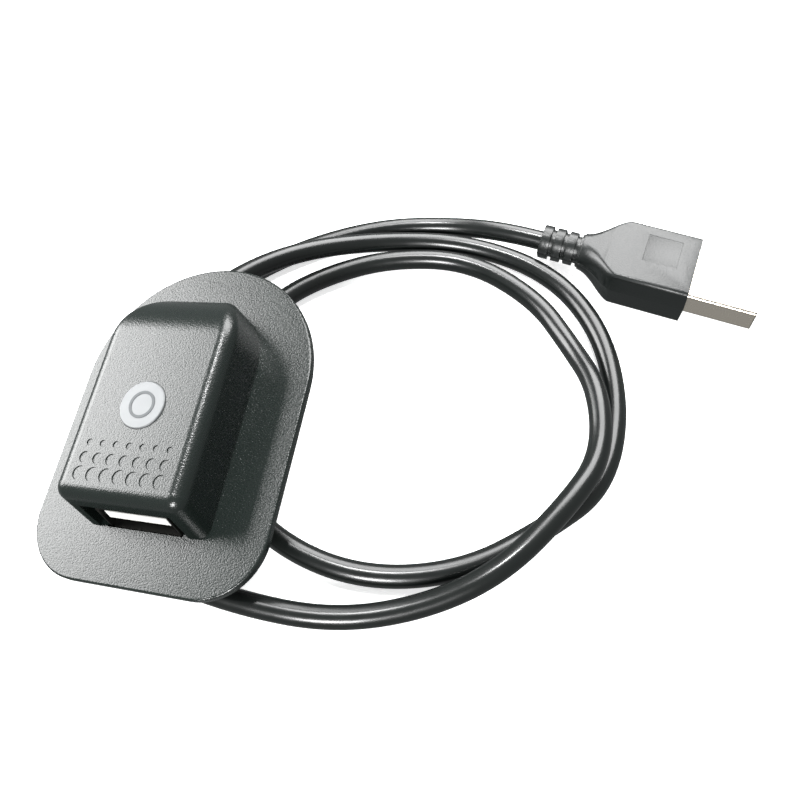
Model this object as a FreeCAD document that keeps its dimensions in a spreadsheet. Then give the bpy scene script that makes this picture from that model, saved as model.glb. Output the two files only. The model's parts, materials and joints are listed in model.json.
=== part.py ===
import FreeCAD, Part
import Sketcher
import math
import os
from FreeCAD import Placement, Rotation, Vector

# Sew-on charging port with a looped cord and a USB-A plug, in millimetres, +Z up.
# The port's own frame: origin on the flange's front face, +X across, +Y towards the arched end,
# +Z out of the front face, the socket's mouth facing -Y.

doc = FreeCAD.newDocument("ChargingPort")
sheet = doc.addObject("Spreadsheet::Sheet", "Dims")

DIMENSIONS = {
    # sewn flange
    "flange_half": 20.85, "flange_bottom": -19.15, "flange_arch": 15.2,
    "flange_thick": 1.2, "flange_corner": 10.3, "flange_edge": 0.35,
    "window_half": 6.9, "window_bottom": -10.35, "window_top": 7.5,
    # hooded housing
    "hood_half": 11.3, "hood_bottom": -10.4, "hood_arch": 17.6, "hood_height": 9.6,
    "hood_wall": 1.6, "face_bottom": -8.3, "face_top": 18.6,
    "face_round": 2.2, "mouth_round": 2.2, "mouth_half": 8.1, "mouth_height": 6.3,
    "cavity_bottom": -8.4, "cavity_arch": 10.4,
    # round badge and the pattern of recesses
    "badge_place": 6.5, "badge_radius": 3.85, "badge_thick": 0.75, "badge_seat": 0.5,
    "badge_round": 0.2, "mark_outer": 2.2, "mark_inner": 1.75, "mark_thick": 0.06,
    "dot_pitch": 2.37, "dot_depth": 0.15, "dot_columns": 7,
    # USB-A socket
    "socket_tilt": 15.0, "socket_place": -9.46, "socket_height": 2.05,
    "socket_width": 13.1, "socket_tall": 5.7, "socket_sheet": 0.29, "socket_depth": 13.0,
    "tongue_width": 11.1, "tongue_thick": 1.84, "tongue_centre": 0.66, "tongue_front": 0.35,
    "tongue_root": 9.6, "contact_width": 1.0, "contact_thick": 0.25, "contact_outer": 3.5,
    "contact_inner": 1.0, "contact_tail": 15.1,
    # back cover
    "cover_half": 10.2, "cover_front": -11.4, "cover_front_floor": -2.9, "cover_bend": 2.0,
    "cover_floor": -5.2, "cover_end": 13.0, "cover_wall": 1.0, "cover_corner": 2.0,
    "post_side": 8.2, "post_front": -4.5, "post_back_side": 4.0, "post_back": 11.0,
    "post_radius": 1.6, "post_short": 2.2, "post_long": 3.4, "screw_seat": -2.7,
    "screw_head": 1.2, "screw_head_tall": 0.7, "screw_shank": 0.7, "screw_length": 6.0,
    "screw_slot": 0.35,
    # cord
    "cord_diameter": 3.7, "cord_side": -6.0, "cord_level": -3.6, "cord_inner_end": 9.8,
    "relief_end": 20.0, "relief_radius": 2.35, "relief_tip": 2.1, "relief_groove": 0.22,
    "duct_radius": 3.3, "duct_start": 5.0, "wire_radius": 0.4, "wire_pack": 0.5,
    "lane_reach": 1.1, "lane_turn": 6.2, "lane_pitch": 0.83,
    "tail_radius": 1.6, "plug_inner_half": 5.65, "plug_inner_low": 1.9,
    # USB-A plug
    "plug_width": 12.0, "plug_tall": 4.5, "plug_sheet": 0.3, "plug_reach": 12.1,
    "plug_buried": 6.0, "grip_width": 14.6, "grip_tall": 7.8, "grip_length": 13.2,
    "grip_round": 0.8, "grip_end": 28.2, "grip_tip": 3.15, "grip_neck": 20.5,
    "mould_width": 13.4, "mould_tall": 6.0, "mould_back": 12.5, "mould_front": 0.7,
    "plug_tilt": -10.01,
}
for row, (alias, number) in enumerate(DIMENSIONS.items(), start=1):
    sheet.set(f"A{row}", str(number))
    sheet.setAlias(f"A{row}", alias)
doc.recompute()

# The port leans on its own cord: it is rolled about X and then about its long axis.
PORT_ROLL = 10.20
PORT_LEAN = -13.39
# Front face of the plug's grip, on the table.
PLUG_PLACE = Vector(80.11, 48.63, 4.0)

# Corner points of the cord's route, from the relief on the port to the plug.
CORD_ROUTE = [
    (-5.14, 12.34, 6.82), (-5.14, 21.20, 8.41), (-2.2, 30.4, 8.0), (7.5, 40.8, 6.3),
    (21.3, 49.2, 2.7), (37.8, 52.4, 1.85), (54.4, 48.0, 1.85), (65.0, 36.2, 1.85),
    (69.4, 20.0, 1.85), (68.0, 4.6, 1.85), (59.2, -4.9, 1.85), (48.0, -14.0, 1.85),
    (33.0, -17.9, 1.85), (18.5, -14.6, 1.85), (7.2, -6.0, 1.85), (1.4, 6.5, 1.85),
    (1.2, 19.5, 1.85), (5.2, 31.4, 1.85), (12.8, 39.4, 1.85), (24.2, 45.9, 1.85),
    (39.2, 48.0, 1.85), (52.8, 40.9, 1.85), (60.2, 31.0, 2.0), (65.3, 20.6, 5.3),
    (66.8, 8.0, 5.3), (61.9, -2.2, 5.9), (53.8, -13.9, 5.1), (43.2, -20.6, 2.4),
    (30.5, -24.9, 1.85), (16.0, -25.0, 1.85), (2.0, -22.8, 1.85), (-8.0, -14.9, 1.85),
    (-13.5, -4.0, 1.85), (-13.4, 9.5, 1.85), (-10.0, 23.0, 1.85), (-2.4, 36.6, 1.85),
    (8.4, 46.5, 1.85), (21.0, 53.5, 1.85), (34.0, 56.3, 1.85), (45.16, 54.80, 4.0),
    (52.34, 53.53, 4.0),
]
RUN_SHARE = 0.45


def size(expression):
    """Number that a sheet expression gives now."""
    return float(sheet.evalExpression(expression))


def bind(target, prop, expression):
    """Ties a property to the sheet; words in the expression are the sheet's aliases."""
    words = sorted(DIMENSIONS, key=len, reverse=True)
    for index, word in enumerate(words):
        expression = expression.replace(word, f"@{index}@")
    for index, word in enumerate(words):
        expression = expression.replace(f"@{index}@", f"Dims.{word}")
    target.setExpression(prop, expression)


# ---------------------------------------------------------------- sketches and features

def new_body(name):
    body = doc.addObject("PartDesign::Body", name)
    body.Label = name
    return body


def new_sketch(body, name, plane, lift="0"):
    """Sketch on one of the body's origin planes, lifted along that plane's normal."""
    sketch = body.newObject("Sketcher::SketchObject", name)
    origin_plane = [f for f in body.Origin.OriginFeatures if f.Role == plane][0]
    sketch.AttachmentSupport = (origin_plane, [""])
    sketch.MapMode = "FlatFace"
    if lift != "0":
        bind(sketch, "AttachmentOffset.Base.z", lift)
    return sketch


def name_last(sketch, name, expression):
    sketch.renameConstraint(sketch.ConstraintCount - 1, name)
    bind(sketch, "Constraints." + name, expression)


def pin(sketch, geometry, point, across, up, label):
    """Ties a sketch point to two expressions measured from the sketch's origin."""
    for kind, axis, expression in (("DistanceX", -2, across), ("DistanceY", -1, up)):
        if expression == "0":
            sketch.addConstraint(Sketcher.Constraint("PointOnObject", geometry, point, axis))
        else:
            value = size(expression)
            sketch.addConstraint(Sketcher.Constraint(kind, -1, 1, geometry, point, value))
            name_last(sketch, f"{label}_{kind[-1].lower()}", expression)


def polygon(sketch, corners, label="corner"):
    """Closed outline whose corners are pairs of sheet expressions."""
    points = [Vector(size(a), size(b), 0) for a, b in corners]
    first = sketch.GeometryCount
    count = len(points)
    for index in range(count):
        sketch.addGeometry(Part.LineSegment(points[index], points[(index + 1) % count]))
    for index in range(count):
        following = first + (index + 1) % count
        sketch.addConstraint(Sketcher.Constraint("Coincident", first + index, 2, following, 1))
    for index, (across, up) in enumerate(corners):
        pin(sketch, first + index, 1, across, up, f"{label}{index}")


def rectangle(sketch, left, right, bottom, top, label="corner"):
    polygon(sketch, [(left, bottom), (right, bottom), (right, top), (left, top)], label)


def tombstone(sketch, middle, half, arch, flat):
    """Two straight sides closed by a half circle on one end and a flat on the other."""
    x, r, y, end = size(middle), size(half), size(arch), size(flat)
    up = 1 if y > end else -1
    start, stop = (0, math.pi) if up > 0 else (math.pi, 2 * math.pi)
    circle = Part.Circle(Vector(x, y, 0), Vector(0, 0, 1), r)
    sketch.addGeometry(Part.ArcOfCircle(circle, start, stop))
    left, right = Vector(x - r * up, y, 0), Vector(x + r * up, y, 0)
    sketch.addGeometry(Part.LineSegment(left, Vector(left.x, end, 0)))
    sketch.addGeometry(Part.LineSegment(Vector(left.x, end, 0), Vector(right.x, end, 0)))
    sketch.addGeometry(Part.LineSegment(Vector(right.x, end, 0), right))
    sketch.addConstraint(Sketcher.Constraint("Tangent", 0, 2, 1, 1))
    sketch.addConstraint(Sketcher.Constraint("Coincident", 1, 2, 2, 1))
    sketch.addConstraint(Sketcher.Constraint("Coincident", 2, 2, 3, 1))
    sketch.addConstraint(Sketcher.Constraint("Tangent", 3, 2, 0, 1))
    sketch.addConstraint(Sketcher.Constraint("Vertical", 1))
    sketch.addConstraint(Sketcher.Constraint("Horizontal", 2))
    sketch.addConstraint(Sketcher.Constraint("Radius", 0, r))
    name_last(sketch, "half", half)
    pin(sketch, 0, 3, middle, arch, "arch")
    sketch.addConstraint(Sketcher.Constraint("DistanceY", -1, 1, 1, 2, end))
    name_last(sketch, "flat", flat)


def quarter_spandrel(sketch, start, radius, margin):
    """Waste outside a quarter circle that is centred on the sketch's X axis."""
    x, r, extra = size(start), size(radius), size(margin)
    arc = Part.Circle(Vector(x, 0, 0), Vector(0, 0, 1), r)
    sketch.addGeometry(Part.ArcOfCircle(arc, 0, math.pi / 2))
    corners = [Vector(x, r, 0), Vector(x, r + extra, 0), Vector(x + r + extra, r + extra, 0),
               Vector(x + r + extra, 0, 0), Vector(x + r, 0, 0)]
    for first, second in zip(corners, corners[1:]):
        sketch.addGeometry(Part.LineSegment(first, second))
    for geometry in range(5):
        sketch.addConstraint(
            Sketcher.Constraint("Coincident", geometry, 2, (geometry + 1) % 5, 1))
    for geometry, direction in ((1, "Vertical"), (2, "Horizontal"), (3, "Vertical")):
        sketch.addConstraint(Sketcher.Constraint(direction, geometry))
    sketch.addConstraint(Sketcher.Constraint("Radius", 0, r))
    name_last(sketch, "radius", radius)
    pin(sketch, 0, 3, start, "0", "centre")
    pin(sketch, 3, 1, f"{start} + {radius} + {margin}", f"{radius} + {margin}", "far")


def circle(sketch, radius, across="0", up="0", label="circle"):
    index = sketch.GeometryCount
    centre = Vector(size(across), size(up), 0)
    sketch.addGeometry(Part.Circle(centre, Vector(0, 0, 1), size(radius)))
    sketch.addConstraint(Sketcher.Constraint("Radius", index, size(radius)))
    name_last(sketch, f"{label}_radius", radius)
    pin(sketch, index, 3, across, up, label)


def extrude(body, kind, name, sketch, length, reverse=False, middle=False):
    """Pad or Pocket of a sketch; the volume has to change the right way."""
    before = body.Shape.Volume if body.Tip else 0.0
    feature = body.newObject("PartDesign::" + kind, name)
    feature.Profile = sketch
    bind(feature, "Length", length)
    feature.Reversed = reverse
    feature.SideType = "Symmetric" if middle else "One side"
    doc.recompute()
    after = body.Shape.Volume
    grew = after > before + 1e-6
    shrank = after < before - 1e-6
    if (kind == "Pad" and not grew) or (kind == "Pocket" and not shrank):
        raise RuntimeError(f"{body.Label}.{name} changed the volume from {before} to {after}")
    return feature


def round_edges(body, name, radius, chosen):
    """Fillet on the edges of the body's tip that a test picks."""
    tip = body.Tip
    names = [f"Edge{i}" for i, edge in enumerate(tip.Shape.Edges, start=1) if chosen(edge)]
    if not names:
        raise RuntimeError(f"{body.Label}.{name} picks no edge")
    fillet = body.newObject("PartDesign::Fillet", name)
    fillet.Base = (tip, names)
    bind(fillet, "Radius", radius)
    doc.recompute()
    return fillet


def is_arch_edge(edge):
    """True for the curved edge between a side wall and the hood's rounded arched end."""
    centre = edge.CenterOfMass
    return centre.y > size("face_top") and 1 < centre.z and abs(centre.x) > 1


def is_parallel(edge, axis):
    """True for a straight edge along an axis."""
    if not isinstance(edge.Curve, Part.Line):
        return False
    return abs(edge.Curve.Direction.dot(axis)) > 0.999


X_AXIS, Y_AXIS, Z_AXIS = Vector(1, 0, 0), Vector(0, 1, 0), Vector(0, 0, 1)


# ---------------------------------------------------------------- housing

def build_flange():
    """Thin sewn flange: straight sides, arched top, round lower corners, a window for the socket."""
    body = new_body("mounting_flange")
    outline = new_sketch(body, "FlangeOutline", "XY_Plane")
    tombstone(outline, "0", "flange_half", "flange_arch", "flange_bottom")
    extrude(body, "Pad", "FlangePad", outline, "flange_thick", reverse=True)
    low = size("flange_bottom") + 0.1
    round_edges(body, "FlangeCorners", "flange_corner",
                lambda e: is_parallel(e, Z_AXIS) and e.CenterOfMass.y < low)
    round_edges(body, "FlangeEdge", "flange_edge",
                lambda e: not is_parallel(e, Z_AXIS) and abs(e.CenterOfMass.z) < 1e-6)
    window = new_sketch(body, "Window", "XY_Plane")
    rectangle(window, "-window_half", "window_half", "window_bottom", "window_top")
    extrude(body, "Pocket", "WindowCut", window, "3 * flange_thick", middle=True)
    holes = new_sketch(body, "ScrewHoles", "XY_Plane")
    for index, (across, up) in enumerate(SCREW_PLACES):
        circle(holes, "screw_shank + 0.2", across, up, f"hole{index}")
    extrude(body, "Pocket", "ScrewHolesCut", holes, "3 * flange_thick", middle=True)
    return body


def build_hood():
    """Hooded shell over the socket: flat face, rounded arched end, open mouth."""
    body = new_body("hood_shell")
    outline = new_sketch(body, "HoodOutline", "XY_Plane")
    tombstone(outline, "0", "hood_half", "hood_arch", "hood_bottom")
    extrude(body, "Pad", "HoodPad", outline, "hood_height")
    arch_end = new_sketch(body, "ArchEnd", "YZ_Plane")
    quarter_spandrel(arch_end, "face_top", "hood_height", "2")
    extrude(body, "Pocket", "ArchEndCut", arch_end, "3 * hood_half", middle=True)
    mouth_end = new_sketch(body, "MouthEnd", "YZ_Plane")
    polygon(mouth_end, [("hood_bottom", "0"), ("face_bottom", "hood_height"),
                        ("hood_bottom - 1", "hood_height"), ("hood_bottom - 1", "0")])
    extrude(body, "Pocket", "MouthEndCut", mouth_end, "3 * hood_half", middle=True)
    front = size("face_bottom") + 0.1
    top = size("hood_height") - 0.01
    round_edges(body, "MouthCorners", "mouth_round",
                lambda e: e.CenterOfMass.y < front and 1 < e.CenterOfMass.z < top)
    round_edges(body, "FaceRound", "face_round",
                lambda e: e.CenterOfMass.z > top or is_arch_edge(e))
    cavity = new_sketch(body, "Cavity", "XY_Plane")
    tombstone(cavity, "0", "hood_half - hood_wall", "cavity_arch", "cavity_bottom")
    extrude(body, "Pocket", "CavityCut", cavity, "hood_height - hood_wall", reverse=True)
    mouth = new_sketch(body, "Mouth", "XZ_Plane", "-cavity_bottom - 0.1")
    rectangle(mouth, "-mouth_half", "mouth_half", "0", "mouth_height")
    extrude(body, "Pocket", "MouthCut", mouth, "4", reverse=True)
    seat = new_sketch(body, "BadgeSeat", "XY_Plane", "hood_height")
    circle(seat, "badge_radius + 0.05", "0", "badge_place")
    extrude(body, "Pocket", "BadgeSeatCut", seat, "badge_seat")
    bosses = new_sketch(body, "Bosses", "XY_Plane")
    for index, (across, up) in enumerate(SCREW_PLACES):
        circle(bosses, "post_radius", across, up, f"boss{index}")
    extrude(body, "Pad", "BossPad", bosses, "hood_height - hood_wall + 0.1")
    pilots = new_sketch(body, "Pilots", "XY_Plane")
    for index, (across, up) in enumerate(SCREW_PLACES):
        circle(pilots, "screw_shank + 0.02", across, up, f"pilot{index}")
    extrude(body, "Pocket", "PilotCut", pilots, "screw_length", reverse=True)
    for index, (place, radius) in enumerate(DOT_ROWS):
        dot = new_sketch(body, f"Dot{index}", "XY_Plane", "hood_height")
        circle(dot, radius, "-3 * dot_pitch", place)
        cut = extrude(body, "Pocket", f"DotCut{index}", dot, "dot_depth")
        row = body.newObject("PartDesign::LinearPattern", f"DotRow{index}")
        row.Originals = [cut]
        row.Direction = (dot, ["H_Axis"])
        bind(row, "Length", "(dot_columns - 1) * dot_pitch")
        bind(row, "Occurrences", "dot_columns")
        body.Tip = row
        doc.recompute()
    return body


def build_badge():
    body = new_body("badge_disc")
    outline = new_sketch(body, "BadgeOutline", "XY_Plane", "hood_height - badge_seat")
    circle(outline, "badge_radius", "0", "badge_place")
    extrude(body, "Pad", "BadgePad", outline, "badge_thick")
    top = size("hood_height - badge_seat + badge_thick") - 1e-3
    round_edges(body, "BadgeRound", "badge_round", lambda e: e.CenterOfMass.z > top)
    return body


def build_mark():
    """Plain ring printed on the badge."""
    body = new_body("badge_mark")
    lift = "hood_height - badge_seat + badge_thick"
    outline = new_sketch(body, "MarkRing", "XY_Plane", lift)
    circle(outline, "mark_outer", "0", "badge_place", "outer")
    circle(outline, "mark_inner", "0", "badge_place", "inner")
    extrude(body, "Pad", "MarkPad", outline, "mark_thick")
    return body


def build_cover():
    """Back cover: a tray that deepens towards the socket's rear, a round duct for the cord, posts."""
    body = new_body("back_cover")
    level = "-flange_thick"
    profile = new_sketch(body, "CoverProfile", "YZ_Plane")
    polygon(profile, [("cover_front", level), ("cover_front", "cover_front_floor"),
                      ("cover_bend", "cover_floor"), ("cover_end", "cover_floor"),
                      ("cover_end", level)])
    extrude(body, "Pad", "CoverPad", profile, "2 * cover_half", middle=True)
    round_edges(body, "CoverCorners", "cover_corner", lambda e: is_parallel(e, Z_AXIS))
    duct = new_sketch(body, "Duct", "XZ_Plane", "-cover_end")
    tombstone(duct, "cord_side", "duct_radius", "cord_level", level)
    extrude(body, "Pad", "DuctPad", duct, "cover_end - duct_start")
    inside = new_sketch(body, "CoverInside", "YZ_Plane")
    polygon(inside, [("cover_front + cover_wall", level),
                     ("cover_front + cover_wall", "cover_front_floor + cover_wall"),
                     ("cover_bend", "cover_floor + cover_wall"),
                     ("cover_end - cover_wall", "cover_floor + cover_wall"),
                     ("cover_end - cover_wall", level)])
    extrude(body, "Pocket", "InsideCut", inside, "2 * (cover_half - cover_wall)", middle=True)
    duct_inside = new_sketch(body, "DuctInside", "XZ_Plane", "cover_wall - cover_end")
    circle(duct_inside, "duct_radius - 0.85", "cord_side", "cord_level")
    extrude(body, "Pocket", "DuctCut", duct_inside, "cover_end - duct_start - 2 * cover_wall",
            reverse=True)
    way_out = new_sketch(body, "WayOut", "XZ_Plane", "-cover_end")
    circle(way_out, "relief_radius - 0.2", "cord_side", "cord_level")
    extrude(body, "Pocket", "WayOutCut", way_out, "1.5 * cover_wall", reverse=True)
    for index, (across, up) in enumerate(SCREW_PLACES):
        post = new_sketch(body, f"Post{index}", "XY_Plane", level)
        circle(post, "post_radius", across, up)
        extrude(body, "Pad", f"PostPad{index}", post, POST_LENGTHS[index], reverse=True)
    shanks = new_sketch(body, "Shanks", "XY_Plane", level)
    heads = new_sketch(body, "Heads", "XY_Plane", "screw_seat")
    for index, (across, up) in enumerate(SCREW_PLACES):
        circle(shanks, "screw_shank + 0.1", across, up, f"shank{index}")
        circle(heads, "screw_head + 0.05", across, up, f"head{index}")
    extrude(body, "Pocket", "ShankCut", shanks, "-cover_floor")
    extrude(body, "Pocket", "HeadCut", heads, "-cover_floor")
    return body


def build_screw(index, across, up):
    """Pan-head self-tapping screw with a cross recess, pointing into the hood."""
    head = doc.addObject("Part::Cylinder", f"ScrewHead{index}")
    bind(head, "Radius", "screw_head")
    bind(head, "Height", "screw_head_tall")
    bind(head, "Placement.Base.z", "screw_seat - screw_head_tall")
    shank = doc.addObject("Part::Cylinder", f"ScrewShank{index}")
    bind(shank, "Radius", "screw_shank")
    bind(shank, "Height", "screw_length")
    bind(shank, "Placement.Base.z", "screw_seat")
    blank = doc.addObject("Part::MultiFuse", f"ScrewBlank{index}")
    blank.Shapes = [head, shank]
    bars = []
    for name, length, width in (("A", "1.4", "screw_slot"), ("B", "screw_slot", "1.4")):
        bar = doc.addObject("Part::Box", f"ScrewSlot{name}{index}")
        bind(bar, "Length", length)
        bind(bar, "Width", width)
        bind(bar, "Height", "0.6 * screw_head_tall")
        bind(bar, "Placement.Base.x", f"-({length}) / 2")
        bind(bar, "Placement.Base.y", f"-({width}) / 2")
        bind(bar, "Placement.Base.z", "screw_seat - 1.1 * screw_head_tall")
        bars.append(bar)
    recess = doc.addObject("Part::MultiFuse", f"ScrewRecess{index}")
    recess.Shapes = bars
    screw = doc.addObject("Part::Cut", f"Screw{index}")
    screw.Base = blank
    screw.Tool = recess
    bind(screw, "Placement.Base.x", across)
    bind(screw, "Placement.Base.y", up)
    return screw


def group(name, members):
    """One node made of several like solids."""
    node = doc.addObject("Part::Compound", name)
    node.Label = name
    node.Links = members
    return node


def box(name, left, right, near, far, low, high):
    """Box between sheet expressions."""
    block = doc.addObject("Part::Box", name)
    for prop, start, stop, axis in (("Length", left, right, "x"), ("Width", near, far, "y"),
                                    ("Height", low, high, "z")):
        bind(block, prop, f"({stop}) - ({start})")
        bind(block, "Placement.Base." + axis, start)
    return block


SCREW_PLACES = [("-post_side", "post_front"), ("post_side", "post_front"),
                ("post_back_side", "post_back")]
POST_LENGTHS = ["post_short", "post_short", "post_long"]
DOT_ROWS = [("0", "0.52"), ("-2.39", "0.9"), ("-4.87", "1.13")]


# ---------------------------------------------------------------- socket and its wiring
# The socket's own frame: origin in the middle of its mouth, +Y into the socket, +Z towards the face.

def build_socket_shell():
    body = new_body("socket_shell")
    section = new_sketch(body, "SocketSection", "XZ_Plane")
    rectangle(section, "-socket_width / 2", "socket_width / 2", "-socket_tall / 2",
              "socket_tall / 2")
    extrude(body, "Pad", "SocketPad", section, "socket_depth", reverse=True)
    round_edges(body, "SocketRound", "2 * socket_sheet", lambda e: is_parallel(e, Y_AXIS))
    inside = new_sketch(body, "SocketInside", "XZ_Plane")
    rectangle(inside, "socket_sheet - socket_width / 2", "socket_width / 2 - socket_sheet",
              "socket_sheet - socket_tall / 2", "socket_tall / 2 - socket_sheet")
    extrude(body, "Pocket", "SocketInsideCut", inside, "socket_depth")
    springs = new_sketch(body, "SpringWindows", "XY_Plane")
    for index, side in enumerate(("-3.2", "3.2")):
        rectangle(springs, f"{side} - 0.9", f"{side} + 0.9", "3.5", "8", f"window{index}")
    extrude(body, "Pocket", "SpringCut", springs, "2 * socket_tall", middle=True)
    return body


def build_socket_insulator():
    """Rear block and tongue with a slot for each contact."""
    body = new_body("socket_insulator")
    rear = new_sketch(body, "RearBlock", "XZ_Plane", "-tongue_root")
    rectangle(rear, "0.35 - socket_width / 2", "socket_width / 2 - 0.35",
              "0.35 - socket_tall / 2", "socket_tall / 2 - 0.35")
    extrude(body, "Pad", "RearPad", rear, "socket_depth - tongue_root - 0.1", reverse=True)
    tongue = new_sketch(body, "Tongue", "XZ_Plane", "-tongue_front")
    rectangle(tongue, "-tongue_width / 2", "tongue_width / 2",
              "tongue_centre - tongue_thick / 2", "tongue_centre + tongue_thick / 2")
    extrude(body, "Pad", "TonguePad", tongue, "tongue_root - tongue_front + 0.1", reverse=True)
    slots = new_sketch(body, "ContactSlots", "XZ_Plane", "-0.9")
    for index, place in enumerate(CONTACT_PLACES):
        rectangle(slots, f"{place} - contact_width / 2 - 0.02",
                  f"{place} + contact_width / 2 + 0.02", "tongue_centre - tongue_thick / 2 - 0.05",
                  "tongue_centre - tongue_thick / 2 + contact_thick + 0.02", f"slot{index}")
    extrude(body, "Pocket", "SlotCut", slots, "socket_depth")
    return body


CONTACT_PLACES = ["-contact_outer", "-contact_inner", "contact_inner", "contact_outer"]
SOCKET_CONTACT_TOP = "tongue_centre - tongue_thick / 2 + contact_thick"


def build_socket_contacts():
    strips = [box(f"SocketContact{i}", f"{x} - contact_width / 2", f"{x} + contact_width / 2",
                  "1", "contact_tail", f"{SOCKET_CONTACT_TOP} - contact_thick",
                  SOCKET_CONTACT_TOP) for i, x in enumerate(CONTACT_PLACES)]
    return group("socket_contacts", strips)


def build_socket_solder():
    drops = [box(f"SocketSolder{i}", f"{x} - 0.42", f"{x} + 0.42", "contact_tail - 1.3",
                 "contact_tail", SOCKET_CONTACT_TOP, f"{SOCKET_CONTACT_TOP} + 0.5")
             for i, x in enumerate(CONTACT_PLACES)]
    return group("socket_solder", drops)


# ---------------------------------------------------------------- round runs

def tangent_path(corners):
    """Straight runs joined by the largest arcs that fit; gives the wire and the arcs' radii."""
    points = [Vector(*corner) for corner in corners]
    edges = []
    radii = []
    start = points[0]
    for before, corner, after in zip(points, points[1:], points[2:]):
        inward, outward = before - corner, after - corner
        cut = RUN_SHARE * min(inward.Length, outward.Length)
        arc_start = corner + inward.normalize() * cut
        arc_end = corner + outward.normalize() * cut
        turn = math.pi - inward.getAngle(outward)
        radius = cut / math.tan(turn / 2)
        bisector = (inward + outward).normalize()
        middle = corner + bisector * (math.hypot(radius, cut) - radius)
        edges.append(Part.LineSegment(start, arc_start).toShape())
        edges.append(Part.Arc(arc_start, middle, arc_end).toShape())
        radii.append(radius)
        start = arc_end
    edges.append(Part.LineSegment(start, points[-1]).toShape())
    return Part.Wire(edges), radii


def round_run(name, corners, radius, placement=None):
    """Solid tube along a tangent path, as one plain feature."""
    path, radii = tangent_path(corners)
    points = [Vector(*corner) for corner in corners[:2]]
    ring = Part.makeCircle(radius, points[0], points[1] - points[0])
    tube = path.makePipeShell([Part.Wire([ring])], True, False, 2)
    expected = math.pi * radius ** 2 * path.Length
    if abs(tube.Volume / expected - 1) > 0.02:
        raise RuntimeError(f"{name} has volume {tube.Volume}, not {expected}")
    node = doc.addObject("Part::Feature", name)
    node.Label = name
    node.Shape = tube
    if placement:
        node.Placement = placement
    return node, path.Length, radii


# ---------------------------------------------------------------- cord relief on the port

def build_grommet():
    """Tapered ribbed relief, keyed into the cover's end wall; it turns about its own +Y axis."""
    body = new_body("cord_grommet")
    profile = new_sketch(body, "ReliefProfile", "XY_Plane")
    wall_in, wall_out = "cover_end - cover_wall - 0.05", "cover_end + 0.05"
    polygon(profile, [("tail_radius + 0.02", "cord_inner_end + 1.2"),
                      ("relief_radius", "cord_inner_end + 1.2"), ("relief_radius", wall_in),
                      ("relief_radius - 0.25", wall_in), ("relief_radius - 0.25", wall_out),
                      ("relief_radius", wall_out), ("relief_tip", "relief_end"),
                      ("tail_radius + 0.02", "relief_end")])
    revolve(body, "Revolution", "ReliefTurn", profile, "V_Axis")
    groove = new_sketch(body, "ReliefGroove", "XY_Plane")
    rectangle(groove, "relief_tip - relief_groove", "relief_radius + 0.5",
              "cover_end + 1.1", "cover_end + 1.8")
    cut = revolve(body, "Groove", "ReliefGrooveCut", groove, "V_Axis")
    pattern(body, "ReliefGrooves", cut, (groove, ["V_Axis"]), "4.5", "4")
    return body


def revolve(body, kind, name, sketch, axis):
    before = body.Shape.Volume if body.Tip else 0.0
    feature = body.newObject("PartDesign::" + kind, name)
    feature.Profile = sketch
    feature.ReferenceAxis = (sketch, [axis])
    feature.Angle = 360
    doc.recompute()
    change = body.Shape.Volume - before
    if (kind == "Revolution" and change <= 0) or (kind == "Groove" and change >= 0):
        raise RuntimeError(f"{body.Label}.{name} changed the volume by {change}")
    return feature


def pattern(body, name, feature, direction, length, count):
    """Row of equal features along a sketch axis."""
    row = body.newObject("PartDesign::LinearPattern", name)
    row.Originals = [feature]
    row.Direction = direction
    bind(row, "Length", length)
    bind(row, "Occurrences", count)
    body.Tip = row
    doc.recompute()
    return row


# ---------------------------------------------------------------- plug
# The plug's own frame: origin in the middle of the grip's front face, +X out along the metal shell.

def rounded_rectangle(sketch, half_width, half_height, corner):
    """Rectangle about the sketch's origin with equal round corners."""
    w, t, r = size(half_width), size(half_height), size(corner)
    centres = [(w - r, t - r), (r - w, t - r), (r - w, r - t), (w - r, r - t)]
    for quarter, (x, y) in enumerate(centres):
        arc = Part.Circle(Vector(x, y, 0), Vector(0, 0, 1), r)
        sketch.addGeometry(Part.ArcOfCircle(arc, quarter * math.pi / 2, (quarter + 1) * math.pi / 2))
    for quarter in range(4):
        following = (quarter + 1) % 4
        start = sketch.getPoint(quarter, 2)
        stop = sketch.getPoint(following, 1)
        sketch.addGeometry(Part.LineSegment(start, stop))
        sketch.addConstraint(Sketcher.Constraint("Tangent", quarter, 2, 4 + quarter, 1))
        sketch.addConstraint(Sketcher.Constraint("Tangent", 4 + quarter, 2, following, 1))
    for quarter in range(1, 4):
        sketch.addConstraint(Sketcher.Constraint("Equal", 0, quarter))
    sketch.addConstraint(Sketcher.Constraint("Horizontal", 4))
    sketch.addConstraint(Sketcher.Constraint("Vertical", 5))
    sketch.addConstraint(Sketcher.Constraint("Symmetric", 0, 3, 2, 3, -1, 1))
    sketch.addConstraint(Sketcher.Constraint("Radius", 0, r))
    name_last(sketch, "corner", corner)
    sketch.addConstraint(Sketcher.Constraint("DistanceX", -1, 1, 0, 3, w - r))
    name_last(sketch, "across", f"{half_width} - {corner}")
    sketch.addConstraint(Sketcher.Constraint("DistanceY", -1, 1, 0, 3, t - r))
    name_last(sketch, "up", f"{half_height} - {corner}")


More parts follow.
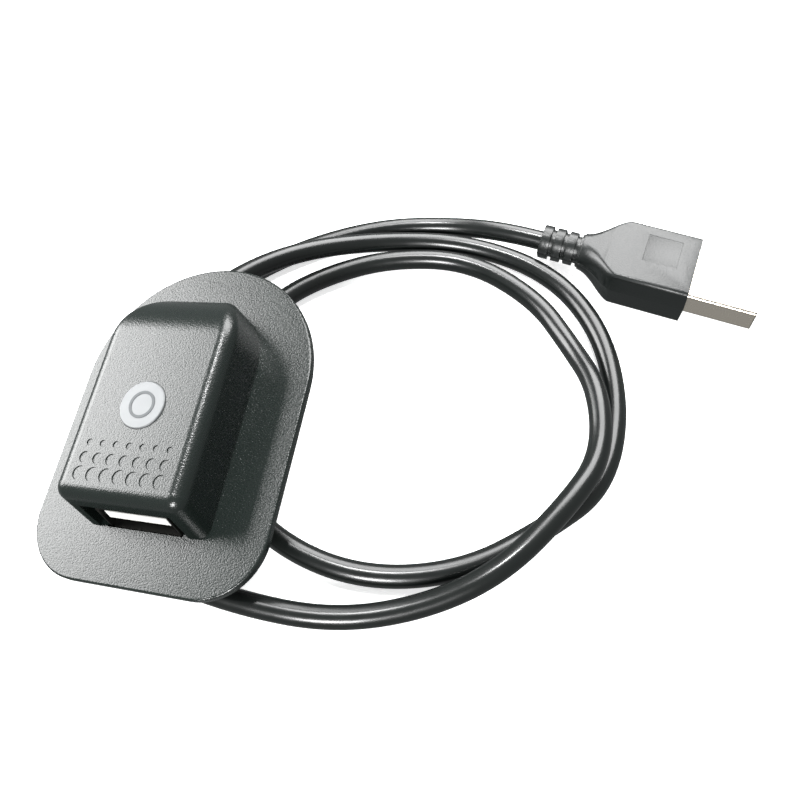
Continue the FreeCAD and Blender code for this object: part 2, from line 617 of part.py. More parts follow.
def build_grip():
    """Moulded grip: flat block, waist that narrows to the cord, ribbed relief."""
    body = new_body("plug_overmould")
    block = new_sketch(body, "GripBlock", "YZ_Plane", "-grip_length")
    rounded_rectangle(block, "grip_width / 2", "grip_tall / 2", "grip_round")
    extrude(body, "Pad", "GripPad", block, "grip_length")
    waist = [("grip_length", "grip_width / 2", "grip_tall / 2", "grip_round"),
             ("grip_length + 2.2", "6.0", "3.8", "1.4"), ("grip_length + 4.2", "4.4", "3.55", "2.0"),
             ("grip_length + 5.8", "3.6", "3.35", "2.6"), ("grip_neck", "3.3", "3.2", "2.95")]
    sections = []
    for index, (place, half_width, half_height, corner) in enumerate(waist):
        section = new_sketch(body, f"Waist{index}", "YZ_Plane", f"-({place})")
        rounded_rectangle(section, half_width, half_height, corner)
        sections.append(section)
    loft = body.newObject("PartDesign::AdditiveLoft", "WaistLoft")
    loft.Profile = sections[0]
    loft.Sections = sections[1:]
    doc.recompute()
    relief = new_sketch(body, "GripRelief", "XY_Plane")
    polygon(relief, [("0.5 - grip_neck", "0"), ("-grip_end", "0"), ("-grip_end", "grip_tip"),
                     ("0.5 - grip_neck", "grip_tip - 0.05")])
    revolve(body, "Revolution", "GripReliefTurn", relief, "H_Axis")
    slot = new_sketch(body, "GripSlot", "XY_Plane")
    rectangle(slot, "1.7 - grip_end", "2.5 - grip_end", "grip_tip - 0.6", "grip_tip + 1")
    cut = revolve(body, "Groove", "GripSlotCut", slot, "H_Axis")
    pattern(body, "GripSlots", cut, (slot, ["H_Axis"]), "4.8", "3")
    cavity = new_sketch(body, "GripCavity", "YZ_Plane", "-mould_back")
    rectangle(cavity, "-mould_width / 2", "mould_width / 2", "-mould_tall / 2", "mould_tall / 2")
    extrude(body, "Pocket", "GripCavityCut", cavity, "mould_back - mould_front", reverse=True)
    way_out = new_sketch(body, "GripFront", "YZ_Plane")
    rectangle(way_out, "-plug_width / 2 - 0.02", "plug_width / 2 + 0.02",
              "-plug_tall / 2 - 0.02", "plug_tall / 2 + 0.02")
    extrude(body, "Pocket", "GripFrontCut", way_out, "mould_front")
    bore = new_sketch(body, "GripBore", "YZ_Plane", "-grip_end")
    circle(bore, "tail_radius + 0.02")
    extrude(body, "Pocket", "GripBoreCut", bore, "grip_end - mould_back", reverse=True)
    return body


def build_inner_mould():
    """Hard inner mould round the shell's rear and the can."""
    body = new_body("plug_inner_mould")
    block = new_sketch(body, "MouldBlock", "YZ_Plane", "-mould_back")
    rectangle(block, "0.02 - mould_width / 2", "mould_width / 2 - 0.02",
              "0.02 - mould_tall / 2", "mould_tall / 2 - 0.02")
    extrude(body, "Pad", "MouldPad", block, "mould_back - mould_front")
    inside = new_sketch(body, "MouldInside", "YZ_Plane", "0.6 - mould_back")
    rectangle(inside, "-plug_width / 2 - 0.02", "plug_width / 2 + 0.02",
              "-plug_tall / 2 - 0.02", "plug_tall / 2 + 0.02")
    extrude(body, "Pocket", "MouldInsideCut", inside, "mould_back", reverse=True)
    bore = new_sketch(body, "MouldBore", "YZ_Plane", "-mould_back")
    circle(bore, "tail_radius + 0.02")
    extrude(body, "Pocket", "MouldBoreCut", bore, "1", reverse=True)
    return body


def build_plug_shell():
    """Folded metal shell with two latch windows in its lower side."""
    body = new_body("plug_shell")
    section = new_sketch(body, "ShellSection", "YZ_Plane", "-plug_buried")
    rectangle(section, "-plug_width / 2", "plug_width / 2", "-plug_tall / 2", "plug_tall / 2")
    extrude(body, "Pad", "ShellPad", section, "plug_buried + plug_reach")
    round_edges(body, "ShellRound", "2 * plug_sheet", lambda e: is_parallel(e, X_AXIS))
    inside = new_sketch(body, "ShellInside", "YZ_Plane", "-plug_buried")
    rectangle(inside, "plug_sheet - plug_width / 2", "plug_width / 2 - plug_sheet",
              "plug_sheet - plug_tall / 2", "plug_tall / 2 - plug_sheet")
    extrude(body, "Pocket", "ShellInsideCut", inside, "plug_buried + plug_reach", reverse=True)
    windows = new_sketch(body, "LatchWindows", "XY_Plane")
    for index, side in enumerate(("-2.65", "2.65")):
        rectangle(windows, "5.2", "7.4", f"{side} - 1.2", f"{side} + 1.2", f"window{index}")
    extrude(body, "Pocket", "LatchCut", windows, "plug_tall")
    return body


def build_rear_can():
    """Metal can over the soldered wires, closed at the rear round the cord."""
    body = new_body("plug_rear_can")
    section = new_sketch(body, "CanSection", "YZ_Plane", "0.65 - mould_back")
    rectangle(section, "-plug_width / 2", "plug_width / 2", "-plug_tall / 2", "plug_tall / 2")
    extrude(body, "Pad", "CanPad", section, "mould_back - plug_buried - 0.7")
    inside = new_sketch(body, "CanInside", "YZ_Plane", "0.95 - mould_back")
    rectangle(inside, "plug_sheet - plug_width / 2", "plug_width / 2 - plug_sheet",
              "plug_sheet - plug_tall / 2", "plug_tall / 2 - plug_sheet")
    extrude(body, "Pocket", "CanInsideCut", inside, "mould_back", reverse=True)
    bore = new_sketch(body, "CanBore", "YZ_Plane", "-mould_back")
    circle(bore, "tail_radius + 0.02")
    extrude(body, "Pocket", "CanBoreCut", bore, "2", reverse=True)
    return body


def build_plug_insulator():
    """Plastic bed under the contacts, thicker at its rear."""
    body = new_body("plug_insulator")
    bed = new_sketch(body, "Bed", "YZ_Plane", "0.1 - plug_buried")
    rectangle(bed, "-plug_inner_half", "plug_inner_half", "-plug_inner_low", "-0.1")
    extrude(body, "Pad", "BedPad", bed, "plug_buried + plug_reach - 0.6")
    rear = new_sketch(body, "BedRear", "YZ_Plane", "0.1 - plug_buried")
    rectangle(rear, "-plug_inner_half", "plug_inner_half", "-plug_inner_low", "plug_inner_low")
    extrude(body, "Pad", "BedRearPad", rear, "3.5")
    slots = new_sketch(body, "BedSlots", "YZ_Plane", "-plug_buried")
    for index, place in enumerate(CONTACT_PLACES):
        rectangle(slots, f"{place} - contact_width / 2 - 0.02",
                  f"{place} + contact_width / 2 + 0.02", "-0.1 - contact_thick - 0.02", "-0.06",
                  f"slot{index}")
    extrude(body, "Pocket", "BedSlotCut", slots, "plug_buried + plug_reach - 1.2", reverse=True)
    return body


PLUG_CONTACT_TOP = "-0.1"


def build_plug_contacts():
    strips = [box(f"PlugContact{i}", "-8.5", "plug_reach - 1.3", f"{y} - contact_width / 2",
                  f"{y} + contact_width / 2", f"{PLUG_CONTACT_TOP} - contact_thick",
                  PLUG_CONTACT_TOP) for i, y in enumerate(CONTACT_PLACES)]
    return group("plug_contacts", strips)


def build_plug_solder():
    drops = [box(f"PlugSolder{i}", "-8.5", "-7.2", f"{y} - 0.42", f"{y} + 0.42",
                 PLUG_CONTACT_TOP, "0.4") for i, y in enumerate(CONTACT_PLACES)]
    return group("plug_solder", drops)


# ---------------------------------------------------------------- assembly

port = Placement(Vector(-0.14, -8.206, 8.094),
                 Rotation(X_AXIS, PORT_ROLL).multiply(Rotation(Y_AXIS, PORT_LEAN)))
socket_seat = Placement(Vector(0, size("socket_place"), size("socket_height")),
                        Rotation(X_AXIS, -size("socket_tilt")))
socket = port.multiply(socket_seat)
relief_seat = Placement(Vector(size("cord_side"), 0, size("cord_level")), Rotation())
relief = port.multiply(relief_seat)
plug = Placement(PLUG_PLACE, Rotation(Z_AXIS, size("plug_tilt")))

nodes = []


def place(node, placement):
    node.Placement = placement
    nodes.append(node)


for build in (build_flange, build_hood, build_badge, build_mark, build_cover):
    place(build(), port)
screws = [build_screw(i, across, up) for i, (across, up) in enumerate(SCREW_PLACES)]
place(group("cover_screws", screws), port)
for build in (build_socket_shell, build_socket_insulator, build_socket_contacts,
              build_socket_solder):
    place(build(), socket)
place(build_grommet(), relief)
for build in (build_grip, build_inner_mould, build_plug_shell, build_rear_can,
              build_plug_insulator, build_plug_contacts, build_plug_solder):
    place(build(), plug)

# Four wires at each end, packed two over two where they enter the jacket.
WIRE_NAMES = ["red", "white", "green", "black"]
pack = size("wire_pack")
wire_radius = size("wire_radius")
packed = [(-pack, -pack), (-pack, pack), (pack, -pack), (pack, pack)]
tail_start = size("cord_inner_end")
side, level = size("cord_side"), size("cord_level")
lane_pitch = size("lane_pitch")
for lane, (colour, place_x) in enumerate(zip(WIRE_NAMES, CONTACT_PLACES)):
    across, up = packed[lane]
    x = size(place_x)
    height = size(SOCKET_CONTACT_TOP) + 0.25
    start = socket_seat.multVec(Vector(x, size("contact_tail"), height))
    along = socket_seat.Rotation.multVec(Y_AXIS)
    reach = size("lane_reach") + lane * lane_pitch
    turn = size("lane_turn") + lane * lane_pitch
    corners = [start, start + along * reach, Vector(side + across, turn, level + up),
               Vector(side + across, tail_start, level + up)]
    nodes.append(round_run(f"wire_{colour}", corners, wire_radius, port)[0])
    corners = [(-8.5, x, 0.15), (-9.4, x, 0.15), (-10.7, across, up), (-11.6, across, up)]
    nodes.append(round_run(f"plug_wire_{colour}", corners, wire_radius, plug)[0])

# The jacket's ends inside the two reliefs.
tail = size("tail_radius")
for name, start, stop, placement in (
        ("cord_tail_port", Vector(0, tail_start, 0), Vector(0, size("relief_end"), 0), relief),
        ("cord_tail_plug", Vector(-11.6, 0, 0), Vector(-size("grip_end"), 0, 0), plug)):
    node = doc.addObject("Part::Feature", name)
    node.Label = name
    node.Shape = Part.makeCylinder(tail, (stop - start).Length, start, stop - start)
    node.Placement = placement
    nodes.append(node)

cord, cord_length, cord_radii = round_run("cord_run", CORD_ROUTE, size("cord_diameter") / 2)
nodes.append(cord)
print("cord length", round(cord_length, 1), "radii", [round(r, 1) for r in cord_radii])

doc.recompute()
for item in doc.Objects:
    if "Invalid" in item.State or "Error" in item.State:
        raise RuntimeError(f"{item.Name} failed: {item.State}")
for node in nodes:
    if node.Shape.isNull() or not node.Shape.isValid():
        raise RuntimeError(f"{node.Label} has no valid shape")

port_box = FreeCAD.BoundBox()
for node in nodes:
    if not node.Label.startswith(("plug_", "cord_run", "cord_tail_plug")):
        port_box.add(node.Shape.BoundBox)
print("port box", [round(v, 2) for v in (port_box.XMin, port_box.YMin, port_box.ZMin,
                                         port_box.XMax, port_box.YMax, port_box.ZMax)])

os.makedirs("parts", exist_ok=True)
for node in nodes:
    node.Shape.exportStep(f"parts/{node.Label}.step")
    print(node.Label, len(node.Shape.Solids), round(node.Shape.Volume, 2))
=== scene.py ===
import json
import math

import bpy
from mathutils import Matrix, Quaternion, Vector

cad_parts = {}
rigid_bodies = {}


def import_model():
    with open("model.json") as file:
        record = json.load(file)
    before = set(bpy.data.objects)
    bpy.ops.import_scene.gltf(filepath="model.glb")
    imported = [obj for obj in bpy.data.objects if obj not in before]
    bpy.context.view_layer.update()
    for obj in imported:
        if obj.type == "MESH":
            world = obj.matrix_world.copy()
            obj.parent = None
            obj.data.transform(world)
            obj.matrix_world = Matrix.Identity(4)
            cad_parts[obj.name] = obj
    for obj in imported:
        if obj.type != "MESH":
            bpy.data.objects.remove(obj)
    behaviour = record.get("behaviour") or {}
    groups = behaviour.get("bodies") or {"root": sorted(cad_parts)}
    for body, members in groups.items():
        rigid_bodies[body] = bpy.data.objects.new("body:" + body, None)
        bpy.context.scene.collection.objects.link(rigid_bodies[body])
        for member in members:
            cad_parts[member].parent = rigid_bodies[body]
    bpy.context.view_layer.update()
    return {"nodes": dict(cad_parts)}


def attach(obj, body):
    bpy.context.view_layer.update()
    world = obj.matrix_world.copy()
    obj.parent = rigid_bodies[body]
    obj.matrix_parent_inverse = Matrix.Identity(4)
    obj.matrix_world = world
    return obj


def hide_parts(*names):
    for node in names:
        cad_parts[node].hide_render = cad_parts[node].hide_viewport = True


# External USB charging port with a hooded housing, a looped cord and a USB-A plug, in metres.
# Almost every visible surface is a CAD node with a better material. The cord and the plug's grip
# are new pieces that stand for their plain CAD solids.

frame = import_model()

MM = 0.001

# Corner points of the cord's route, in metres, from the relief on the port to the plug.
CORD_ROUTE = [
    (-0.00514, 0.01234, 0.00682), (-0.00514, 0.02120, 0.00841), (-0.0022, 0.0304, 0.0080),
    (0.0075, 0.0408, 0.0063), (0.0213, 0.0492, 0.0027), (0.0378, 0.0524, 0.00185),
    (0.0544, 0.0480, 0.00185), (0.0650, 0.0362, 0.00185), (0.0694, 0.0200, 0.00185),
    (0.0680, 0.0046, 0.00185), (0.0592, -0.0049, 0.00185), (0.0480, -0.0140, 0.00185),
    (0.0330, -0.0179, 0.00185), (0.0185, -0.0146, 0.00185), (0.0072, -0.0060, 0.00185),
    (0.0014, 0.0065, 0.00185), (0.0012, 0.0195, 0.00185), (0.0052, 0.0314, 0.00185),
    (0.0128, 0.0394, 0.00185), (0.0242, 0.0459, 0.00185), (0.0392, 0.0480, 0.00185),
    (0.0528, 0.0409, 0.00185), (0.0602, 0.0310, 0.0020), (0.0653, 0.0206, 0.0053),
    (0.0668, 0.0080, 0.0053), (0.0619, -0.0022, 0.0059), (0.0538, -0.0139, 0.0051),
    (0.0432, -0.0206, 0.0024), (0.0305, -0.0249, 0.00185), (0.0160, -0.0250, 0.00185),
    (0.0020, -0.0228, 0.00185), (-0.0080, -0.0149, 0.00185), (-0.0135, -0.0040, 0.00185),
    (-0.0134, 0.0095, 0.00185), (-0.0100, 0.0230, 0.00185), (-0.0024, 0.0366, 0.00185),
    (0.0084, 0.0465, 0.00185), (0.0210, 0.0535, 0.00185), (0.0340, 0.0563, 0.00185),
    (0.04516, 0.05480, 0.0040), (0.05234, 0.05353, 0.0040),
]
CORD_DIAMETER = 3.7 * MM


# ---------------------------------------------------------------- small helpers

def linear(hex_colour):
    """sRGB hex to the linear RGBA that shader sockets take."""
    channels = [int(hex_colour[i:i + 2], 16) / 255 for i in (1, 3, 5)]
    return [c / 12.92 if c <= 0.04045 else ((c + 0.055) / 1.055) ** 2.4 for c in channels] + [1.0]


def deselect_all():
    for thing in bpy.context.view_layer.objects:
        thing.select_set(False)


def only(piece):
    """Makes one piece the active and only selected object."""
    deselect_all()
    piece.select_set(True)
    bpy.context.view_layer.objects.active = piece


# ---------------------------------------------------------------- camera, floor and light

CAMERA_PLACE = Vector((50.80, -56.30, 118.59)) * MM
CAMERA_TARGET = Vector((32.23, 15.68, 0.0)) * MM
CAMERA_ROLL = math.radians(-3.23)
CAMERA_LENS = 36
CAMERA_SENSOR = 36
FLOOR_SIDE = 1.6
FLOOR_MIDDLE = (0.03, 0.0, 0.0)
LIGHT_TARGET = Vector((30.0, 15.0, 0.0)) * MM
# Each light's place and side in metres, and its power in watts. The left one shines off the port's
# face, the back one off the plug, the small ones give the thin lines along the cord.
LIGHTS = {
    "back_softbox": ((0.10, 0.60, 0.60), 0.60, 13),
    "left_softbox": ((-0.748, 0.139, 0.359), 0.55, 13),
    "front_lamp": ((0.02, -0.62, 0.34), 0.20, 6),
    "overhead_lamp": ((-0.08, 0.20, 0.88), 0.07, 5),
}


def make_camera():
    """Close camera above and in front of the port, turned a little about its own view."""
    data = bpy.data.cameras.new("camera")
    data.lens = CAMERA_LENS
    data.sensor_width = CAMERA_SENSOR
    data.clip_start = 0.005
    camera = bpy.data.objects.new("camera", data)
    bpy.context.scene.collection.objects.link(camera)
    aim = (CAMERA_TARGET - CAMERA_PLACE).to_track_quat("-Z", "Y")
    camera.rotation_mode = "QUATERNION"
    camera.rotation_quaternion = aim @ Quaternion((0, 0, 1), CAMERA_ROLL)
    camera.location = CAMERA_PLACE
    bpy.context.scene.camera = camera


def make_light(name, place, size, watts):
    """Square soft box that faces the middle of the object."""
    data = bpy.data.lights.new(name, "AREA")
    data.shape = "SQUARE"
    data.size = size
    data.energy = watts
    light = bpy.data.objects.new(name, data)
    bpy.context.scene.collection.objects.link(light)
    light.location = Vector(place)
    light.rotation_mode = "QUATERNION"
    light.rotation_quaternion = (LIGHT_TARGET - light.location).to_track_quat("-Z", "Y")


def add_node(tree, kind, links=None, **settings):
    """Adds a shader node; settings name its properties or inputs, links feed its inputs."""
    node = tree.nodes.new(kind)
    for name, value in settings.items():
        if hasattr(node, name):
            setattr(node, name, value)
        else:
            node.inputs[name.replace("_", " ")].default_value = value
    for name, source in (links or {}).items():
        tree.links.new(source, node.inputs[name])
    return node


def new_material(name):
    """Empty node material; gives it, its tree and its Principled shader."""
    material = bpy.data.materials.new(name)
    material.use_nodes = True
    tree = material.node_tree
    tree.nodes.clear()
    shader = tree.nodes.new("ShaderNodeBsdfPrincipled")
    output = tree.nodes.new("ShaderNodeOutputMaterial")
    tree.links.new(shader.outputs["BSDF"], output.inputs["Surface"])
    return material, tree, shader


def object_coordinates(tree):
    return tree.nodes.new("ShaderNodeTexCoord").outputs["Object"]


def per_mm(millimetres):
    """Texture scale whose features are about that far apart."""
    return 1.0 / (millimetres * MM)


def make_floor():
    """White acrylic lit from behind: an even white with only a trace of shadow."""
    deselect_all()
    bpy.ops.mesh.primitive_plane_add(size=FLOOR_SIDE, location=FLOOR_MIDDLE)
    floor = bpy.context.active_object
    floor.name = "studio_floor"
    material, tree, shader = new_material("backlit_white_acrylic_sweep")
    shader.inputs["Base Color"].default_value = linear("#f7f8f7")
    shader.inputs["Roughness"].default_value = 0.9
    shader.inputs["Specular IOR Level"].default_value = 0.2
    shader.inputs["Emission Color"].default_value = linear("#ffffff")
    shader.inputs["Emission Strength"].default_value = 0.7
    floor.data.materials.append(material)
    # The bright floor doesn't shine up at the object, so that its black walls stay dark.
    floor.visible_glossy = False
    floor.visible_diffuse = False


def make_world():
    """Faint even light from all round, as in a white room."""
    world = bpy.data.worlds.new("studio_air")
    world.use_nodes = True
    air = world.node_tree.nodes["Background"]
    air.inputs["Color"].default_value = linear("#f4f8f8")
    air.inputs["Strength"].default_value = 0.34
    bpy.context.scene.world = world


make_camera()
make_world()
make_floor()
for light_name, (light_place, light_side, light_watts) in LIGHTS.items():
    make_light(light_name, light_place, light_side, light_watts)
# Plain sRGB keeps the floor white and the plastic black.
bpy.context.scene.view_settings.view_transform = "Standard"


# ---------------------------------------------------------------- materials

def spark_eroded_plastic(name, colour, roughness, grain_mm, depth_mm):
    """Black moulded plastic from a spark-eroded tool: fine random pits that break up its sheen.

    Real pits are too fine to show at this distance, so they are drawn coarser than they are.
    """
    material, tree, shader = new_material(name)
    place = object_coordinates(tree)
    grain = add_node(tree, "ShaderNodeTexNoise", {"Vector": place}, Scale=per_mm(grain_mm),
                     Detail=1.0, Roughness=0.5)
    blotch = add_node(tree, "ShaderNodeTexNoise", {"Vector": place}, Scale=per_mm(9.0), Detail=2.0)
    tint = add_node(tree, "ShaderNodeMix", {"Factor": blotch.outputs["Fac"]}, data_type="RGBA")
    tint.inputs["A"].default_value = linear(colour)
    tint.inputs["B"].default_value = [c * 1.25 for c in linear(colour)[:3]] + [1.0]
    tree.links.new(tint.outputs["Result"], shader.inputs["Base Color"])
    spread = add_node(tree, "ShaderNodeMapRange", {"Value": grain.outputs["Fac"]},
                      To_Min=roughness - 0.06, To_Max=roughness + 0.10)
    tree.links.new(spread.outputs["Result"], shader.inputs["Roughness"])
    bump = add_node(tree, "ShaderNodeBump", {"Height": grain.outputs["Fac"]}, Strength=1.0,
                    Distance=depth_mm * MM)
    tree.links.new(bump.outputs["Normal"], shader.inputs["Normal"])
    shader.inputs["IOR"].default_value = 1.54
    return material


def gloss_pvc():
    """Extruded PVC jacket: smooth and glossy, with faint long waves from the extruder."""
    material, tree, shader = new_material("extruded_pvc_jacket")
    place = object_coordinates(tree)
    waves = add_node(tree, "ShaderNodeTexNoise", {"Vector": place}, Scale=per_mm(2.6), Detail=2.0)
    spread = add_node(tree, "ShaderNodeMapRange", {"Value": waves.outputs["Fac"]},
                      To_Min=0.20, To_Max=0.30)
    tree.links.new(spread.outputs["Result"], shader.inputs["Roughness"])
    bump = add_node(tree, "ShaderNodeBump", {"Height": waves.outputs["Fac"]}, Strength=0.25,
                    Distance=0.02 * MM)
    tree.links.new(bump.outputs["Normal"], shader.inputs["Normal"])
    shader.inputs["Base Color"].default_value = linear("#101312")
    shader.inputs["IOR"].default_value = 1.53
    return material


# Painted shade runs this far in from an edge: a dark line that stands in for the dimmer reflection
# along the sheet's rounded edges.
# It is full where the rounded and the true normal differ as much as the first likeness says, and
# gone where they differ as little as the second says.
EDGE_SHADE_WIDTH = 0.35 * MM
EDGE_SHADE_FULL, EDGE_SHADE_GONE = 0.97, 0.9995
EDGE_SHADE_COLOUR = "#2e2d2b"


def brushed_metal(name, colour, roughness, grain_mm, stretch, painted_edge_shade=False):
    """Plated sheet metal with fine rolling lines along one direction, and optionally painted shade
    along its edges.
    """
    material, tree, shader = new_material(name)
    place = object_coordinates(tree)
    turned = add_node(tree, "ShaderNodeMapping", {"Vector": place}, Scale=stretch)
    lines = add_node(tree, "ShaderNodeTexNoise", {"Vector": turned.outputs["Vector"]},
                     Scale=per_mm(grain_mm), Detail=3.0)
    spread = add_node(tree, "ShaderNodeMapRange", {"Value": lines.outputs["Fac"]},
                      To_Min=roughness - 0.06, To_Max=roughness + 0.08)
    tree.links.new(spread.outputs["Result"], shader.inputs["Roughness"])
    bump = add_node(tree, "ShaderNodeBump", {"Height": lines.outputs["Fac"]}, Strength=0.1,
                    Distance=0.01 * MM)
    tree.links.new(bump.outputs["Normal"], shader.inputs["Normal"])
    shader.inputs["Metallic"].default_value = 1.0
    if not painted_edge_shade:
        shader.inputs["Base Color"].default_value = linear(colour)
        return material
    # Painted shade darkens the folded edges in place of their dimmer reflection, which outlines
    # the sheet.
    rounded = add_node(tree, "ShaderNodeBevel", Radius=EDGE_SHADE_WIDTH)
    surface = tree.nodes.new("ShaderNodeNewGeometry")
    likeness = add_node(tree, "ShaderNodeVectorMath", operation="DOT_PRODUCT")
    tree.links.new(rounded.outputs["Normal"], likeness.inputs[0])
    tree.links.new(surface.outputs["True Normal"], likeness.inputs[1])
    edge_shade = add_node(tree, "ShaderNodeMapRange", {"Value": likeness.outputs["Value"]},
                    From_Min=EDGE_SHADE_FULL, From_Max=EDGE_SHADE_GONE)
    tint = add_node(tree, "ShaderNodeMix", {"Factor": edge_shade.outputs["Result"]}, data_type="RGBA")
    tint.inputs["A"].default_value = linear(EDGE_SHADE_COLOUR)
    tint.inputs["B"].default_value = linear(colour)
    tree.links.new(tint.outputs["Result"], shader.inputs["Base Color"])
    return material


def smooth_plastic(name, colour, roughness, metallic=0.0):
    """Moulded plastic, ink or lacquer, whose sheen varies faintly where it flowed."""
    material, tree, shader = new_material(name)
    place = object_coordinates(tree)
    flow = add_node(tree, "ShaderNodeTexNoise", {"Vector": place}, Scale=per_mm(1.2), Detail=2.0)
    spread = add_node(tree, "ShaderNodeMapRange", {"Value": flow.outputs["Fac"]},
                      To_Min=roughness - 0.05, To_Max=roughness + 0.05)
    tree.links.new(spread.outputs["Result"], shader.inputs["Roughness"])
    shader.inputs["Base Color"].default_value = linear(colour)
    shader.inputs["IOR"].default_value = 1.5
    shader.inputs["Metallic"].default_value = metallic
    return material


# Spark-eroded plastic shows a grey frost where light grazes it and is nearly black elsewhere.
hood_plastic = spark_eroded_plastic("spark_eroded_abs_hood", "#0f1513", 0.25, 0.22, 0.032)
flange_plastic = spark_eroded_plastic("spark_eroded_pvc_flange", "#111715", 0.25, 0.24, 0.036)
grip_plastic = spark_eroded_plastic("moulded_pvc_grip", "#0b0f0e", 0.34, 0.30, 0.025)
# The smooth jacket carries each light as a thin bright line along the cord.
cord_plastic = gloss_pvc()
# Nickel plate is pale and slightly warm, and its rolling lines smear what it reflects.
# Its edges carry painted shade that stands in for their dimmer reflection.
nickel = brushed_metal("nickel_plated_steel", "#e6dccf", 0.24, 0.5, (1.0, 6.0, 1.0),
                       painted_edge_shade=True)
# Lacquer with metal flakes has a soft grey sheen and no clear reflection.
silver_lacquer = smooth_plastic("sprayed_silver_lacquer", "#6c6e6f", 0.45, metallic=0.3)
# Painted shade: the socket's tin is coloured dark grey because it sits in the shadowed mouth, so
# it hardly shows and the white tongue stands out.
shaded_steel = brushed_metal("shade_darkened_socket_steel", "#4a4a48", 0.45, 0.5, (1.0, 6.0, 1.0))
# Gold flash gives the contacts small warm glints.
gold = brushed_metal("gold_flashed_bronze", "#d9b25a", 0.2, 0.2, (1.0, 1.0, 1.0))
# Solder is bright and a little uneven.
solder = brushed_metal("tin_solder", "#b9bbbd", 0.3, 0.3, (1.0, 1.0, 1.0))
# Zinc plate is a cool grey with a fine sparkle.
zinc = brushed_metal("zinc_plated_screw_steel", "#9da0a4", 0.3, 0.2, (1.0, 1.0, 1.0))
# Nylon is milky white with a soft sheen.
tongue_plastic = smooth_plastic("white_nylon_insulator", "#f4f4f0", 0.35)
# Pad-printed ink is thin, flat and dull.
ink = smooth_plastic("grey_pad_print_ink", "#3c4042", 0.5)
# Polyethylene without pigment is waxy and off-white.
polyethylene = smooth_plastic("natural_polyethylene", "#cfcabd", 0.45)

NODE_MATERIALS = {
    "mounting_flange": flange_plastic, "hood_shell": hood_plastic, "badge_disc": silver_lacquer,
    "badge_mark": ink, "back_cover": hood_plastic, "cover_screws": zinc,
    "socket_shell": shaded_steel, "socket_insulator": tongue_plastic, "socket_contacts": gold,
    "socket_solder": solder, "cord_grommet": grip_plastic, "plug_overmould": grip_plastic,
    "plug_inner_mould": polyethylene, "plug_shell": nickel, "plug_rear_can": nickel,
    "plug_insulator": tongue_plastic, "plug_contacts": gold, "plug_solder": solder,
    "cord_tail_port": cord_plastic, "cord_tail_plug": cord_plastic,
}
# PVC insulation is evenly coloured, with a soft shine.
WIRE_COLOURS = {"red": "#a8201a", "white": "#e8e8e4", "green": "#1c6b35", "black": "#16181a"}
for wire_colour, wire_hex in WIRE_COLOURS.items():
    insulation = smooth_plastic(f"pvc_wire_insulation_{wire_colour}", wire_hex, 0.35)
    NODE_MATERIALS["wire_" + wire_colour] = insulation
    NODE_MATERIALS["plug_wire_" + wire_colour] = insulation

for node_name, node_material in NODE_MATERIALS.items():
    node_mesh = frame["nodes"][node_name].data
    node_mesh.materials.clear()
    node_mesh.materials.append(node_material)


# ---------------------------------------------------------------- cord

def make_cord():
    """The soft cord as one round curve, in place of the CAD cord."""
    curve = bpy.data.curves.new("cord", "CURVE")
    curve.dimensions = "3D"
    curve.bevel_depth = CORD_DIAMETER / 2
    curve.bevel_resolution = 7
    curve.resolution_u = 10
    curve.use_fill_caps = True
    spline = curve.splines.new("NURBS")
    spline.points.add(len(CORD_ROUTE) - 1)
    for point, corner in zip(spline.points, CORD_ROUTE):
        point.co = (*corner, 1.0)
    spline.order_u = 3
    spline.use_endpoint_u = True
    cord = bpy.data.objects.new("cord", curve)
    bpy.context.scene.collection.objects.link(cord)
    curve.materials.append(cord_plastic)
    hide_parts("cord_run")
    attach(cord, "root")


# ---------------------------------------------------------------- plug's grip

PLUG_MIDDLE = Vector((80.11, 48.63, 4.0)) * MM
PLUG_TURN = math.radians(-10.01)

# Millimetres in the plug's own frame. The panel is a cube's overlap with the grip's top.
PANEL_MIDDLE = (-6.3, 1.4, 4.0)
PANEL_SIZE = (6.2, 6.6, 0.3)
SOFT_EDGE = 0.22
# The parting line is a band round the sides at middle height. Behind GRIP_BACK it is on the
# narrower relief, so a face counts as a side there when it is only RELIEF_SIDE from the middle.
PARTING_HALF_HEIGHT = 0.12
PARTING_RIDGE = 0.16
GRIP_BACK = -12.6
GRIP_SIDE, RELIEF_SIDE = 6.9, 1.9


def plug_local(point):
    """Place of a point in the plug's own frame: x along its metal shell, y across, z up."""
    offset = point - PLUG_MIDDLE
    cosine, sine = math.cos(PLUG_TURN), math.sin(PLUG_TURN)
    return Vector((offset.x * cosine + offset.y * sine, offset.y * cosine - offset.x * sine,
                   offset.z))


def plug_world(x, y, z):
    """Place in the scene of a point given in millimetres in the plug's own frame."""
    cosine, sine = math.cos(PLUG_TURN), math.sin(PLUG_TURN)
    return PLUG_MIDDLE + Vector((x * cosine - y * sine, x * sine + y * cosine, z)) * MM


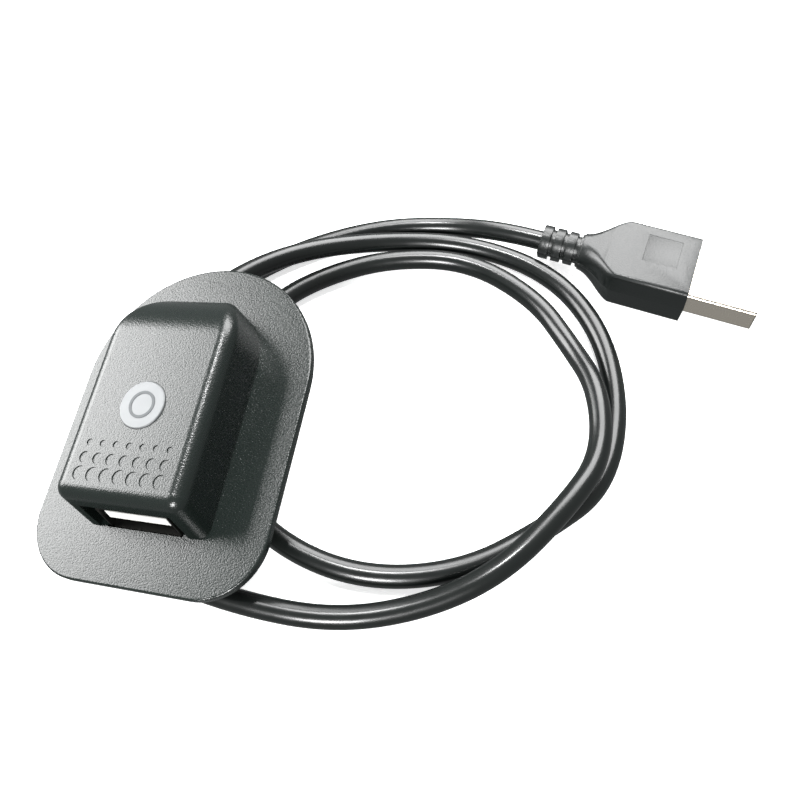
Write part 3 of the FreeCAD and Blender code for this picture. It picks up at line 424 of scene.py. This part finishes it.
def copy_of(node_name, piece_name):
    """Joined-up copy of a CAD node's mesh, as a new piece."""
    piece = bpy.data.objects.new(piece_name, frame["nodes"][node_name].data.copy())
    bpy.context.scene.collection.objects.link(piece)
    only(piece)
    bpy.ops.object.mode_set(mode="EDIT")
    bpy.ops.mesh.select_all(action="SELECT")
    bpy.ops.mesh.remove_doubles(threshold=0.001 * MM)
    bpy.ops.mesh.dissolve_limited(angle_limit=math.radians(0.5))
    bpy.ops.object.mode_set(mode="OBJECT")
    return piece


def apply_modifier(piece, name, kind, **settings):
    """Adds one modifier with the given settings and makes its result the piece's mesh."""
    only(piece)
    modifier = piece.modifiers.new(name, kind)
    for setting, value in settings.items():
        setattr(modifier, setting, value)
    bpy.ops.object.modifier_apply(modifier=name)


def make_grip():
    """The moulded grip with soft edges, a recessed panel on top and the mould's parting line."""
    grip = copy_of("plug_overmould", "grip")
    bpy.ops.mesh.primitive_cube_add(size=1, location=plug_world(*PANEL_MIDDLE),
                                    rotation=(0, 0, PLUG_TURN),
                                    scale=[side * MM for side in PANEL_SIZE])
    panel = bpy.context.active_object
    bpy.ops.object.transform_apply()
    apply_modifier(grip, "panel", "BOOLEAN", operation="DIFFERENCE", object=panel, solver="EXACT")
    bpy.data.objects.remove(panel)
    apply_modifier(grip, "soft_edges", "BEVEL", width=SOFT_EDGE * MM, segments=3,
                   limit_method="ANGLE", angle_limit=math.radians(40))
    only(grip)
    bpy.ops.object.mode_set(mode="EDIT")
    for side in (-1, 1):
        bpy.ops.mesh.select_all(action="SELECT")
        level = PLUG_MIDDLE + Vector((0, 0, side * PARTING_HALF_HEIGHT * MM))
        bpy.ops.mesh.bisect(plane_co=level, plane_no=(0, 0, 1))
    bpy.ops.mesh.select_all(action="DESELECT")
    bpy.ops.mesh.select_mode(type="FACE")
    bpy.ops.object.mode_set(mode="OBJECT")
    for face in grip.data.polygons:
        place = plug_local(face.center) / MM
        outside = GRIP_SIDE if place.x > GRIP_BACK else RELIEF_SIDE
        face.select = abs(place.z) < PARTING_HALF_HEIGHT and abs(place.y) > outside
    bpy.ops.object.mode_set(mode="EDIT")
    bpy.ops.transform.shrink_fatten(value=PARTING_RIDGE * MM)
    bpy.ops.object.mode_set(mode="OBJECT")
    bpy.ops.object.shade_smooth_by_angle(angle=math.radians(30))
    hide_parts("plug_overmould")
    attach(grip, "root")
    return grip


grip = make_grip()
make_cord()
